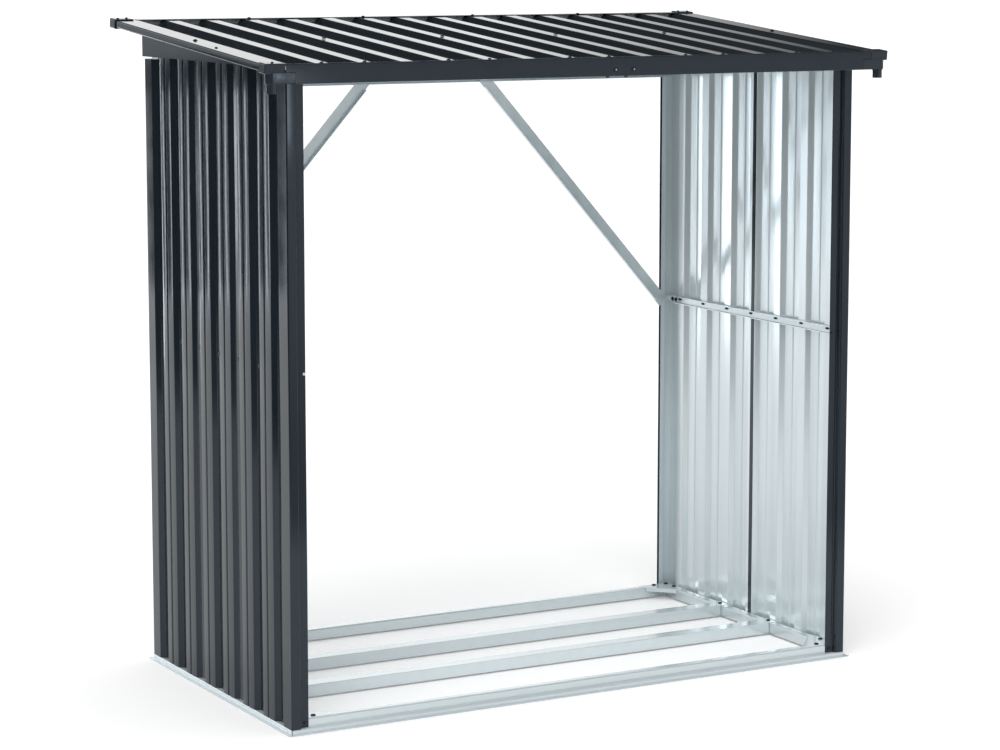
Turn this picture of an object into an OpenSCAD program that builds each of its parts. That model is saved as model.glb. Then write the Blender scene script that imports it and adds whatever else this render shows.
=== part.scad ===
// Open metal log store: two ribbed side walls on a base frame, a single-slope ribbed roof
// with a gutter along its low front edge, braces across the open back.
// Millimetres. Length along X, front (gutter side) at -Y, up is +Z, ground at Z = 0.

/* [Base frame] */
// Length of the base frame over its feet
base_w = 1484; // [1200:1:1900]
// Depth of the base frame over its feet
base_d = 807; // [782:1:890]
// Height of the base rails
rail_h = 30; // [24:0.5:50]
// Width of the outward foot of a base rail
rail_foot = 10; // [6:0.5:20]
// Height of the shelf that the wall sheets stand on
rail_riser = 11; // [6:0.5:16]
// Width of the top flange of a base rail
rail_top = 22; // [14:0.5:32]
// Drop of the lip on the top flange
rail_lip = 7; // [3:0.5:12]
// Open gap at each mitred corner, along the rail
mitre_gap = 2; // [0.5:0.5:5]
// Width of a floor joist
joist_w = 40; // [24:1:60]
// Depth of a floor joist
joist_h = 26; // [14:1:28]
// Length of the legs of a corner plate
plate_leg = 88; // [60:1:110]
// Drop of the lip on a corner plate
plate_lip = 9; // [4:0.5:16]

/* [Sheet metal] */
// Thickness of the wall and roof sheets
sheet_t = 1; // [0.6:0.1:1.5]
// Thickness of rails, beams and braces
frame_t = 1.5; // [0.8:0.1:2.5]
// Distance between valleys of the wall sheets
wall_pitch = 109; // [95:1:111]
// Distance aimed at between crowns of the roof sheets
crown_pitch = 102; // [80:1:130]
// Width of the narrow flat of a rib
rib_w = 30; // [20:1:36]
// Run of the sloping flank of a rib
flank_w = 9; // [4:0.5:12]
// Depth of a rib
rib_depth = 12; // [8:0.5:16]
// Width of the stiffening groove in the middle of each wide flat
groove_w = 10; // [6:0.5:16]
// Depth of that groove
groove_depth = 2; // [0.5:0.25:2.5]
// Half width of the flanges where two sheets lap
lap_half = 12; // [8:0.5:14]

/* [Walls] */
// Height of the top edge of the wall sheets
wall_top = 1447; // [1000:1:1800]
// How far the corner posts stop below the sheets
post_drop = 9; // [5:0.5:20]
// Width of the front or rear face of a corner post
post_face = 22; // [16:1:40]
// Run of the step behind that face
post_step = 4; // [2:0.5:8]
// Width of the inner flange of a corner post
post_flange = 20; // [14:1:32]
// Height of the middle rails at their lower edge
mid_rail_z = 780; // [500:1:1000]
// Height of a middle rail
mid_rail_h = 18; // [14:0.5:30]
// Depth of the flanges of a middle rail
mid_rail_flange = 10; // [5:0.5:20]
// How far the middle rails stop inside the frame plane at each end
mid_rail_end = 32; // [26:0.5:38]
// Lap of the gable plate over the wall sheets
gable_lap = 4; // [3:0.5:4.5]
// How far the gable plate runs past the rear post
gable_over = 10; // [0:0.5:20]

/* [Top frame] */
// How far the front beam and top rails reach below the wall top
beam_drop = 36; // [30:1:60]
// How far the rear beam reaches below the wall top
rear_drop = 82; // [50:1:120]
// Width of the beam flanges
beam_flange = 20; // [12:1:30]
// Width of the top rail flanges
top_rail_flange = 15; // [8:1:25]
// Height of the roof purlin
purlin_h = 22; // [14:1:24]
// Width of the roof purlin
purlin_w = 40; // [28:1:60]
// Width of a brace
brace_w = 30; // [20:1:45]
// Depth of the lip along the lower edge of a brace
brace_lip = 12; // [6:0.5:20]
// Distance from the centre to the top end of each brace
brace_top_x = 168; // [80:1:260]
// Distance from the frame plane to the middle of a brace's foot
brace_foot_in = 30; // [22:1:40]
// How far a brace's top end laps over the rear beam
brace_lap = 5; // [3:0.5:20]
// How far a brace runs past its fixing at each end
brace_end = 12; // [8:0.5:16]

/* [Roof] */
// Slope of the roof in degrees
roof_angle = 5; // [4.2:0.02:7]
// How far the roof reaches past the base at each side
side_eaves = 58; // [46:1:100]
// How far the roof reaches past the base at the front and the back
end_eaves = 35; // [30:0.5:70]
// Distance from the outer crowns to the side faces of the roof
roof_edge = 41; // [38:0.5:56]
// Free space over the front edge of the wall sheets
roof_clear = 1; // [0.3:0.1:3]
// How far the roof sheets stop inside the front and rear faces
roof_setback = 14; // [8:0.5:16]
// Width of the top flange of a side trim
trim_flange = 54; // [50:1:64]
// Height of the face of a side trim
trim_face = 17; // [16:0.5:24]
// Width of the bottom lip of a side trim
trim_lip = 12; // [6:0.5:20]
// Width of the top flange of the rear trim
rear_flange = 18; // [10:1:30]

/* [Gutter and plastic corners] */
// Height of the gutter fascia
fascia_h = 43; // [36:0.5:60]
// Width of the gutter channel
gutter_w = 28; // [22:0.5:34]
// Width of the rolled lip on top of the fascia
fascia_lip = 5; // [3:0.5:9]
// Place of the joint in the fascia, from the centre
splice_x = 42; // [-200:1:200]
// Wall of the plastic corners and caps
plastic_t = 2.5; // [1.5:0.1:3]
// Depth of the sockets that cover the trim ends
socket_d = 32; // [24:1:44]
// Width of those sockets along the front
socket_w = 48; // [40:1:54]
// Length of the gutter cup along the front
cup_w = 64; // [56:1:90]
// How far the cup stops inside the side face of the roof
cup_inset = 6; // [3:0.5:20]
// Outer diameter of a spout
spout_d = 22; // [16:0.5:24]
// Inner diameter of a spout
spout_bore = 18; // [12:0.5:20]
// Length of a spout
spout_len = 20; // [12:0.5:60]

/* [Fits] */
// Clearance between pieces that slip into each other
slip = 0.4; // [0.2:0.1:0.8]
// Clearance under the roof sheets
seat = 0.2; // [0.1:0.05:0.5]

/* [Hidden] */

paint = [0.20, 0.22, 0.24];
zinc = [0.78, 0.81, 0.82];
plastic = [0.13, 0.14, 0.15];

// Outer faces of the cladding, and the frame plane behind its valleys
clad_x = base_w / 2 - rail_foot;
clad_y = base_d / 2 - rail_foot;
clad_depth = rib_depth + sheet_t;
frame_x = clad_x - clad_depth;
frame_y = clad_y - clad_depth;

// Wall sheets: as many wide flats on each half as leave the corner posts their side flats
flats_a_panel = floor((clad_y - post_face - flank_w - rib_w / 2) / wall_pitch);
end_valley = flats_a_panel * wall_pitch;
wall_flat = wall_pitch - rib_w - 2 * flank_w;
post_top = wall_top - post_drop;
gable_z = wall_top - gable_lap;
beam_z = wall_top - beam_drop;
rear_beam_z = wall_top - rear_drop;

// Roof: its underside follows the slope and just clears the front edge of the wall sheets
slope = tan(roof_angle);
roof_w = base_w + 2 * side_eaves;
roof_d = base_d + 2 * end_eaves;
roof_z = wall_top + roof_clear + (end_valley + lap_half) * slope;
crown_n = rib_depth + sheet_t;
sheets = 3;
pitches_a_sheet = round((roof_w - 2 * roof_edge) / sheets / crown_pitch);
roof_pitches = sheets * pitches_a_sheet;
roof_pitch = (roof_w - 2 * roof_edge) / roof_pitches;
roof_front_s = -(roof_d / 2 - roof_setback) / cos(roof_angle);
roof_rear_s = -roof_front_s;
trim_x = roof_w / 2 - plastic_t - slip;
sheet_edge = trim_x - sheet_t - 3 * slip;
trim_in = trim_x - trim_flange;
trim_low = crown_n + sheet_t - trim_face;

// Sockets round the trim ends, measured square to the slope
socket_in = roof_w / 2 - socket_w;
socket_low = trim_low - slip - plastic_t;
socket_high = crown_n + sheet_t + slip + plastic_t;
socket_front_s = -(roof_d / 2 - socket_high * sin(roof_angle)) / cos(roof_angle);
socket_rear_s = (roof_d / 2 + socket_low * sin(roof_angle)) / cos(roof_angle);

// Gutter along the front
fascia_y = -roof_d / 2;
gutter_back = fascia_y + gutter_w;
fascia_top = under(roof_front_s * cos(roof_angle)) + crown_n + 2 * sheet_t;
fascia_low = fascia_top - fascia_h;
cup_top = under(gutter_back) + socket_low + plastic_t / 2;
cup_end = roof_w / 2 - cup_inset;
cup_in = cup_end - cup_w;
spout_x = cup_end - gutter_w / 2;
spout_y = fascia_y + gutter_w / 2;

// Braces, drawn on the right-hand side
brace_foot = [frame_x - brace_foot_in, mid_rail_z + mid_rail_h / 2];
brace_head = [brace_top_x, rear_beam_z + brace_lap];
brace_run = brace_head - brace_foot;

// How far cuts run past the faces that they open
cut_over = sheet_t;

// Height of the underside of the roof sheets at a depth y
function under(y) = roof_z + y * slope;

// Unit vector to the left of the run from a to b
function left_of(a, b) = let (d = (b - a) / norm(b - a)) [-d[1], d[0]];

// Corner of a bend moved sideways by t, kept square to both runs
function bend(a, b, c, t) = let (n = left_of(a, b), m = left_of(b, c)) b + t * (n + m) / (1 + n * m);

// Path moved sideways by t to its left
function beside(path, t) = let (last = len(path) - 1) [
    for (i = [0 : last])
        i == 0 ? path[0] + t * left_of(path[0], path[1])
        : i == last ? path[i] + t * left_of(path[i - 1], path[i])
        : bend(path[i - 1], path[i], path[i + 1], t)
];

// Closed outline of a sheet of thickness t bent along a path
function folded(path, t) = let (side = beside(path, t), last = len(path) - 1)
    concat(path, [for (i = [last : -1 : 0]) side[i]]);

// Wide flat of a wall sheet, centred at c, with its groove and both flanks; its foot starts at height h
function wide_flat(c, h = 0) = [
    [c - wall_flat / 2 - flank_w, h],
    [c - wall_flat / 2, rib_depth],
    [c - groove_w / 2, rib_depth],
    [c - groove_w / 2 + groove_depth, rib_depth - groove_depth],
    [c + groove_w / 2 - groove_depth, rib_depth - groove_depth],
    [c + groove_w / 2, rib_depth],
    [c + wall_flat / 2, rib_depth],
    [c + wall_flat / 2 + flank_w, 0]
];

// Narrow crown of a roof sheet, centred at c
function crown(c) = [
    [c - rib_w / 2 - flank_w, 0],
    [c - rib_w / 2, rib_depth],
    [c + rib_w / 2, rib_depth],
    [c + rib_w / 2 + flank_w, 0]
];

// Stiffening ridge in the middle of a roof valley, centred at c
function valley_ridge(c) = [
    [c - groove_w / 2, 0],
    [c - groove_w / 2 + groove_depth, groove_depth],
    [c + groove_w / 2 - groove_depth, groove_depth],
    [c + groove_w / 2, 0]
];

// Place of roof crown number k along the length
function crown_x(k) = (k - roof_pitches / 2) * roof_pitch;

// All points of a list of point lists, in order
function joined(lists) = [for (list = lists) each list];

module on_side(side) {
    if (side < 0) mirror([1, 0, 0]) children();
    else children();
}

module on_end(end) {
    if (end < 0) mirror([0, 1, 0]) children();
    else children();
}

// Outline in the Y-Z plane, pulled along +X
module along_x(length) {
    rotate([90, 0, 90]) linear_extrude(length) children();
}

// Children drawn square to the roof: X along the length, Y up the slope, Z away from it
module on_slope() {
    translate([0, 0, roof_z]) rotate([roof_angle, 0, 0]) children();
}

// Outline in the plane across the roof's length, pulled up the slope
module up_slope(from, to) {
    on_slope() translate([0, to, 0]) rotate([90, 0, 0]) linear_extrude(to - from) children();
}

// Base rail section, from the foot inwards
module rail_section() {
    web = rail_foot + clad_depth;
    polygon(folded([
        [0, frame_t],
        [rail_foot, frame_t],
        [rail_foot, rail_riser],
        [web, rail_riser],
        [web, rail_h],
        [web + rail_top, rail_h],
        [web + rail_top, rail_h - rail_lip]
    ], -frame_t));
}

// Base rail of a given length with mitred ends, its foot along Y = 0, running along +X
module mitred_rail(length) {
    reach = rail_foot + clad_depth + rail_top + cut_over;
    intersection() {
        along_x(length) rail_section();
        linear_extrude(rail_h) polygon([
            [mitre_gap, 0],
            [length - mitre_gap, 0],
            [length - mitre_gap - reach, reach],
            [mitre_gap + reach, reach]
        ]);
    }
}

module long_rail(end) {
    color(zinc) on_end(-end) translate([-base_w / 2, -base_d / 2, 0]) mitred_rail(base_w);
}

module side_rail(side) {
    color(zinc) on_side(side) translate([base_w / 2, -base_d / 2, 0]) rotate([0, 0, 90]) mitred_rail(base_d);
}

// Inverted channel with ends that lap over the side rails
module floor_joist(end) {
    channel = [
        [-joist_w / 2, -joist_h],
        [-joist_w / 2, frame_t],
        [joist_w / 2, frame_t],
        [joist_w / 2, -joist_h]
    ];
    lap = rail_top + slip;
    length = 2 * frame_x - 2 * frame_t;
    color(zinc) translate([-length / 2, end * wall_pitch, rail_h]) difference() {
        along_x(length) polygon(folded(channel, -frame_t));
        for (x = [-cut_over, length - lap])
            translate([x, -joist_w, -joist_h - cut_over])
                cube([lap + cut_over, 2 * joist_w, joist_h + cut_over]);
    }
}

// Triangular plate over a rail corner, with a lip turned down along its long edge
module corner_plate(side, end) {
    tip = rail_top - rail_lip;
    edge = (plate_leg + tip) / sqrt(2);
    lip_in = rail_top + slip;
    section = [
        [0, frame_t],
        [edge, frame_t],
        [edge, -plate_lip]
    ];
    corner = [frame_x - frame_t, frame_y - frame_t, rail_h];
    color(zinc) on_side(side) on_end(end) translate(corner) intersection() {
        rotate(-135) translate([0, plate_leg, 0]) rotate([90, 0, 0])
            linear_extrude(2 * plate_leg) polygon(folded(section, -frame_t));
        union() {
            translate([-plate_leg, -plate_leg, 0]) cube([plate_leg, plate_leg, frame_t]);
            translate([-plate_leg, -plate_leg, -plate_lip])
                cube([plate_leg - lip_in, plate_leg - lip_in, plate_lip + frame_t]);
        }
    }
}

// Corner post: lap flange, flank, side flat, corner, end face, step and inner flange
module corner_post(side, end) {
    lap_x = frame_x + 2 * sheet_t;
    path = [
        [lap_x, end_valley - lap_half],
        [lap_x, end_valley + rib_w / 2],
        [clad_x, end_valley + rib_w / 2 + flank_w],
        [clad_x, clad_y],
        [clad_x - post_face, clad_y],
        [clad_x - post_face - post_step, clad_y - rib_depth],
        [clad_x - post_face - post_step - post_flange, clad_y - rib_depth]
    ];
    color(paint) on_side(side) on_end(end) translate([0, 0, rail_riser])
        linear_extrude(post_top - rail_riser) polygon(folded(path, sheet_t));
}

// Wall sheet of a side's front or rear half; the rear one laps over the front one in the middle valley
module wall_panel(side, end) {
    lap_h = end > 0 ? sheet_t : 0;
    first = end > 0 ? 0 : -flats_a_panel;
    start = end > 0 ? -lap_half : -end_valley - lap_half;
    finish = end > 0 ? end_valley + lap_half : lap_half;
    flats = [
        for (i = [0 : flats_a_panel - 1])
            wide_flat((first + i + 0.5) * wall_pitch, i == 0 ? lap_h : 0)
    ];
    path = concat([[start, lap_h]], joined(flats), [[finish, 0]]);
    outline = [for (q = folded(path, sheet_t)) [frame_x + q[1], q[0]]];
    color(paint) on_side(side) translate([0, 0, rail_riser])
        linear_extrude(wall_top - rail_riser) polygon(outline);
}

// Channel along the inside of a side wall at mid height
module mid_rail(side) {
    length = 2 * (frame_y - mid_rail_end);
    section = [
        [-mid_rail_flange, 0],
        [0, 0],
        [0, mid_rail_h],
        [-mid_rail_flange, mid_rail_h]
    ];
    color(zinc) on_side(side) translate([frame_x, length / 2, mid_rail_z]) rotate([90, 0, 0])
        linear_extrude(length) polygon(folded(section, frame_t));
}

// Channel along the inside of a side wall under the roof
module side_top_rail(side) {
    length = 2 * (frame_y - beam_flange - slip);
    height = beam_drop - gable_lap - post_drop;
    section = [
        [-top_rail_flange, 0],
        [0, 0],
        [0, height],
        [-top_rail_flange, height]
    ];
    color(zinc) on_side(side) translate([frame_x, length / 2, beam_z]) rotate([90, 0, 0])
        linear_extrude(length) polygon(folded(section, frame_t));
}

// Channel behind the gutter, with both flanges inwards
module front_beam() {
    top = under(-frame_y) - seat;
    section = [
        [-frame_y + beam_flange, beam_z],
        [-frame_y, beam_z],
        [-frame_y, top],
        [-frame_y + beam_flange, top]
    ];
    half = frame_x - slip;
    color(zinc) translate([-half, 0, 0]) along_x(2 * half) polygon(folded(section, -frame_t));
}

// Deep beam across the back, its top flange outwards and flat against the roof
module rear_beam() {
    top = under(frame_y) - seat - frame_t / cos(roof_angle);
    section = [
        [frame_y - beam_flange, rear_beam_z],
        [frame_y, rear_beam_z],
        [frame_y, top],
        [frame_y + beam_flange, top + beam_flange * slope]
    ];
    half = frame_x - slip;
    color(zinc) translate([-half, 0, 0]) along_x(2 * half) polygon(folded(section, frame_t));
}

// Angle bar from the middle of a rear post up to the rear beam
module brace(side) {
    length = norm(brace_run) + 2 * brace_end;
    turn = atan2(brace_run[1], brace_run[0]);
    color(zinc) on_side(side) translate([0, frame_y - frame_t, 0]) rotate([90, 0, 0])
        translate(brace_foot) rotate(turn) translate([-brace_end, -brace_w / 2]) {
            linear_extrude(frame_t) square([length, brace_w]);
            translate([2 * brace_end, brace_w - frame_t]) linear_extrude(brace_lip)
                square([length - 4 * brace_end, frame_t]);
        }
}

// Angle that ties the middle rail to the rear post and carries the foot of the brace
module brace_bracket(side) {
    tie = mid_rail_end + lap_half;
    path = [
        [frame_x - frame_t, frame_y - tie],
        [frame_x - frame_t, frame_y],
        [clad_x - post_face - post_step - post_flange, frame_y]
    ];
    color(zinc) on_side(side) translate([0, 0, mid_rail_z + frame_t + slip])
        linear_extrude(mid_rail_h - 2 * (frame_t + slip)) polygon(folded(path, frame_t));
}

// Wedge that closes the wall top under the sloping roof
module gable_plate(side) {
    tip_y = -end_valley;
    back = clad_y + gable_over;
    color(paint) on_side(side) translate([clad_x, 0, 0]) along_x(sheet_t) polygon([
        [tip_y, gable_z],
        [back, gable_z],
        [back, under(back) - seat],
        [tip_y, under(tip_y) - seat]
    ]);
}

// Hat-shaped bar under the middle of the roof, from gable plate to gable plate
module roof_purlin() {
    section = [
        [-purlin_w / 2, -purlin_h],
        [-purlin_w / 2, -seat],
        [purlin_w / 2, -seat],
        [purlin_w / 2, -purlin_h]
    ];
    color(zinc) on_slope() translate([-clad_x, 0, 0]) along_x(2 * clad_x) polygon(folded(section, -frame_t));
}

// Roof sheet number 0, 1 or 2 from the left; each one laps over the crown before it
module roof_sheet(number) {
    first = number * pitches_a_sheet;
    last = first + pitches_a_sheet;
    start = number == 0
        ? concat([[-sheet_edge, 0]], crown(crown_x(first)))
        : [
            [crown_x(first) - rib_w / 2 + slip, crown_n],
            [crown_x(first) + rib_w / 2, crown_n],
            [crown_x(first) + rib_w / 2 + flank_w, 0]
        ];
    finish = number == 2
        ? concat(crown(crown_x(last)), [[sheet_edge, 0]])
        : [
            [crown_x(last) - rib_w / 2 - flank_w, 0],
            [crown_x(last) - rib_w / 2, rib_depth],
            [crown_x(last) + rib_w / 2 - flank_w / 2, rib_depth]
        ];
    middle = [
        for (k = [first : last - 1])
            concat(k == first ? [] : crown(crown_x(k)), valley_ridge(crown_x(k + 0.5)))
    ];
    color(paint) up_slope(roof_front_s, roof_rear_s)
        polygon(folded(concat(start, joined(middle), finish), sheet_t));
}

// Cap along a side edge of the roof: flange over the last crown, face and bottom lip
module roof_side_trim(side) {
    top = crown_n + sheet_t;
    path = [
        [trim_in, top],
        [trim_x, top],
        [trim_x, trim_low],
        [trim_x - trim_lip, trim_low]
    ];
    color(paint) on_side(side) up_slope(roof_front_s, roof_rear_s) polygon(folded(path, -sheet_t));
}

// Strip that closes the rear ends of the crowns
module rear_trim() {
    top = crown_n + 2 * sheet_t;
    back = roof_rear_s + slip + sheet_t;
    section = [
        [back - rear_flange, top],
        [back, top],
        [back, trim_low],
        [back - trim_lip, trim_low]
    ];
    length = 2 * (trim_in - slip);
    color(paint) on_slope() translate([-length / 2, 0, 0]) along_x(length) polygon(folded(section, -sheet_t));
}

// Gutter section: rolled lip, fascia, floor and back
module gutter_section() {
    back_top = under(gutter_back) - seat;
    polygon(folded([
        [fascia_y + fascia_lip, fascia_top - fascia_lip],
        [fascia_y + fascia_lip, fascia_top],
        [fascia_y, fascia_top],
        [fascia_y, fascia_low],
        [gutter_back, fascia_low],
        [gutter_back, back_top]
    ], sheet_t));
}

// Gutter from x = from to x = to, cut away where the end cups sit
module gutter_fascia(from, to) {
    color(paint) difference() {
        translate([from, 0, 0]) along_x(to - from) gutter_section();
        for (side = [-1, 1])
            on_side(side) translate([cup_in - slip, fascia_y - cut_over, fascia_low - cut_over])
                cube([cup_w, gutter_w + 2 * cut_over, cup_top - fascia_low + slip + cut_over]);
    }
}

// Outside of the shell that slips over the end of a side trim, from its closed end at s to its mouth
module socket_body(s, mouth) {
    on_slope() translate([socket_in, min(s, mouth), socket_low])
        cube([socket_w, socket_d, socket_high - socket_low]);
}

// Inside of that shell, open inwards and towards the roof
module socket_room(s, mouth) {
    closed = s < mouth ? plastic_t : -cut_over;
    on_slope() translate([socket_in - cut_over, min(s, mouth) + closed, socket_low + plastic_t])
        cube([
            socket_w - plastic_t + cut_over,
            socket_d - plastic_t + cut_over,
            socket_high - socket_low - 2 * plastic_t
        ]);
}

// Plan of the gutter cup, round at its outer end, shrunk by a wall
module cup_plan(wall) {
    radius = gutter_w / 2 - wall;
    translate([spout_x, spout_y]) circle(radius, $fn = 48);
    translate([cup_in, spout_y - radius]) square([spout_x - cup_in, 2 * radius]);
}

// Moulded gutter end: trim socket, cup at the gutter's end and round spout
module gutter_corner(side) {
    mouth = socket_front_s + socket_d;
    floor_z = fascia_low + plastic_t;
    room_h = cup_top - floor_z;
    color(plastic) on_side(side) difference() {
        union() {
            socket_body(socket_front_s, mouth);
            translate([0, 0, fascia_low]) linear_extrude(cup_top - fascia_low) cup_plan(0);
            translate([spout_x, spout_y, fascia_low - spout_len])
                cylinder(d = spout_d, h = spout_len + plastic_t, $fn = 48);
        }
        socket_room(socket_front_s, mouth);
        translate([0, 0, floor_z]) linear_extrude(room_h - plastic_t) cup_plan(plastic_t);
        translate([cup_in - cut_over, spout_y - gutter_w / 2 + plastic_t, floor_z])
            cube([2 * cut_over, gutter_w - 2 * plastic_t, room_h - plastic_t]);
        translate([spout_x, spout_y, fascia_low - spout_len - cut_over])
            cylinder(d = spout_bore, h = spout_len + plastic_t + 2 * cut_over, $fn = 48);
    }
}

// Moulded cap over the rear end of a side trim
module rear_cap(side) {
    mouth = socket_rear_s - socket_d;
    color(plastic) on_side(side) difference() {
        socket_body(socket_rear_s, mouth);
        socket_room(socket_rear_s, mouth);
    }
}

long_rail(1);  // base_rail_front
long_rail(-1);  // base_rail_rear
side_rail(-1);  // base_rail_left
side_rail(1);  // base_rail_right
floor_joist(-1);  // floor_joist_front
floor_joist(1);  // floor_joist_rear
corner_plate(-1, -1);  // corner_plate_front_left
corner_plate(1, -1);  // corner_plate_front_right
corner_plate(-1, 1);  // corner_plate_rear_left
corner_plate(1, 1);  // corner_plate_rear_right
corner_post(-1, -1);  // corner_post_front_left
corner_post(1, -1);  // corner_post_front_right
corner_post(-1, 1);  // corner_post_rear_left
corner_post(1, 1);  // corner_post_rear_right
wall_panel(-1, -1);  // wall_panel_left_front
wall_panel(-1, 1);  // wall_panel_left_rear
wall_panel(1, -1);  // wall_panel_right_front
wall_panel(1, 1);  // wall_panel_right_rear
mid_rail(-1);  // mid_rail_left
mid_rail(1);  // mid_rail_right
side_top_rail(-1);  // side_top_rail_left
side_top_rail(1);  // side_top_rail_right
front_beam();
rear_beam();
brace(-1);  // brace_left
brace(1);  // brace_right
brace_bracket(-1);  // brace_bracket_left
brace_bracket(1);  // brace_bracket_right
gable_plate(-1);  // gable_plate_left
gable_plate(1);  // gable_plate_right
roof_purlin();
roof_sheet(0);  // roof_sheet_left
roof_sheet(1);  // roof_sheet_middle
roof_sheet(2);  // roof_sheet_right
roof_side_trim(-1);  // roof_side_trim_left
roof_side_trim(1);  // roof_side_trim_right
rear_trim();
gutter_fascia(-socket_in + slip, splice_x - slip / 2);  // gutter_fascia_left
gutter_fascia(splice_x + slip / 2, socket_in - slip);  // gutter_fascia_right
gutter_corner(-1);  // gutter_corner_left
gutter_corner(1);  // gutter_corner_right
rear_cap(-1);  // rear_cap_left
rear_cap(1);  // rear_cap_right
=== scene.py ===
"""Open metal log store: bent sheet, moulded corners and fasteners dressed round the loaded frame."""

import math

import bpy
import numpy as np
from bpy.props import FloatProperty, FloatVectorProperty, IntProperty, PointerProperty
from mathutils import Matrix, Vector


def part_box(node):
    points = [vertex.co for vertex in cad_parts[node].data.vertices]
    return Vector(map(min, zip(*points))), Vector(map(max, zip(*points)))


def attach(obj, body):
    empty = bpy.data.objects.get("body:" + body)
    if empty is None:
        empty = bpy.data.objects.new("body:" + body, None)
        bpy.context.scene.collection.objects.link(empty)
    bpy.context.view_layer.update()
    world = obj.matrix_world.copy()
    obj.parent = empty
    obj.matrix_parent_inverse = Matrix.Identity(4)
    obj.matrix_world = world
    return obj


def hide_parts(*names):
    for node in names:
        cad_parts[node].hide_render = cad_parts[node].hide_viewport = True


bl_info = {
    "name": "Metal log store",
    "version": (1, 0, 0),
    "blender": (4, 5, 0),
    "location": "3D View > Sidebar > Log store",
    "description": "Dresses the frame of an open metal log store with bent sheets, fasteners and finishes",
    "category": "Object",
}

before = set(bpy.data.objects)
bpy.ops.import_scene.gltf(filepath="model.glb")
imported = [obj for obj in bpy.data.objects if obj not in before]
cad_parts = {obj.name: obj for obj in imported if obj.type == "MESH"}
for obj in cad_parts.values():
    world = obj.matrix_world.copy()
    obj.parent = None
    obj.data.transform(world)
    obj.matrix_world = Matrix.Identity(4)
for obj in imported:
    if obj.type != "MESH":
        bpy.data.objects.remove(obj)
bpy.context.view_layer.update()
SIDES = {"left": -1, "right": 1}
ENDS = {"front": -1, "rear": 1}
ROOF_SHEETS = ("left", "middle", "right")
WALL_FLATS = 3
FAR_TIP = -0.3
HEM_FOLD = 2.2
WALL_WAVE, ROOF_WAVE = 1.5, 1.25
WAVE_ALONG, WAVE_ACROSS = 7.3, 31.0
X, Y, Z = range(3)
RIGHT, BACK, UP = (1, 0, 0), (0, 1, 0), (0, 0, 1)
FORWARD, DOWN = (0, -1, 0), (0, 0, -1)


# Settings


def length(name, description, default):
    """Property that holds a length in metres."""
    return FloatProperty(name=name, description=description, default=default, unit="LENGTH", precision=4)


def rotation(name, description, degrees):
    """Property that holds an angle."""
    return FloatProperty(name=name, description=description, default=math.radians(degrees), unit="ROTATION")


def number(name, description, default):
    """Property that holds a plain number."""
    return FloatProperty(name=name, description=description, default=default)


def location(name, description, default):
    """Property that holds a place in metres."""
    return FloatVectorProperty(
        name=name, description=description, default=default, subtype="TRANSLATION", unit="LENGTH")


def colour(name, description, default):
    """Property that holds a colour."""
    return FloatVectorProperty(name=name, description=description, default=default, subtype="COLOR")


class LogStoreSheets(bpy.types.PropertyGroup):
    """Sizes of the ribbed sheets, posts, trims and gutter."""

    thickness: length("Sheet", "Thickness of the painted sheets", 0.001)
    bend: length("Bend", "Radius of the bends in the sheets", 0.0026)
    rib: length("Rib", "Width of the narrow flat of a rib", 0.030)
    flank: length("Flank", "Run of the sloping flank of a rib", 0.009)
    depth: length("Depth", "Depth of a rib", 0.012)
    groove: length("Groove", "Width of the groove in a wide flat", 0.010)
    groove_depth: length("Groove depth", "Depth of that groove", 0.002)
    crowning: length("Crowning", "How far the wide flats are domed by rolling", 0.001)
    lap: length("Lap", "Half width of the flanges where sheets lap", 0.012)
    hem: length("Hem", "Width of the folded edges", 0.005)
    hem_sheet: length("Hem sheet", "Thickness of the hem at a wall's seam", 0.0006)
    hem_bend: length("Hem bend", "Radius of the bends in that hem", 0.0005)
    hem_over: length("Hem over", "How far that hem stands past the lap", 0.0008)
    rib_set: length("Rib set", "Lift of a tipped valley's middle, half that of its edge", 0.0012)
    post_face: length("Post face", "Width of the front face of a post", 0.022)
    post_flange: length("Post flange", "Width of the inner flange of a post", 0.020)
    trim_face: length("Trim face", "Height of the face of a side trim", 0.017)
    trim_lip: length("Trim lip", "Width of the bottom lip of a trim", 0.012)
    rear_flange: length("Rear flange", "Width of the top flange of the rear trim", 0.018)
    fascia_lip: length("Fascia lip", "Width of the rolled lip of the fascia", 0.005)
    wave: length("Wave", "Height of the slow waves in sheets and rails", 0.0002)
    play: length("Play", "Gap between a face and what bears on it", 0.0002)
    cut: length("Cut", "Step of a profile over which a notch starts", 0.0003)
    crowns: IntProperty(name="Crowns", description="Number of crowns on the roof", default=16)


class LogStoreSteel(bpy.types.PropertyGroup):
    """Sizes of the rails, beams and braces."""

    thickness: length("Steel", "Thickness of rails, beams and braces", 0.0015)
    bend: length("Bend", "Radius of the bends in the rails", 0.0022)
    foot: length("Foot", "Width of the outward foot of a base rail", 0.010)
    riser: length("Riser", "Height of the shelf for the wall sheets", 0.011)
    rail_top: length("Rail top", "Width of the top flange of a base rail", 0.022)
    rail_lip: length("Rail lip", "Drop of the lip on that flange", 0.026)
    mitre: length("Mitre gap", "Gap at each mitred corner", 0.002)
    plate_edge: length("Plate edge", "How far a corner plate's edge is cut back on its legs", 0.015)
    plate_lip: length("Plate lip", "Drop of the lip on a corner plate", 0.009)
    purlin: length("Purlin", "Width of the roof purlin", 0.040)
    purlin_depth: length("Purlin depth", "Depth of the roof purlin", 0.022)
    brace: length("Brace", "Width of a brace", 0.030)
    brace_end: length("Brace end", "How far a brace runs past its fixing", 0.012)
    slip: length("Clearance", "Clearance between pieces that slip together", 0.0004)


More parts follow.
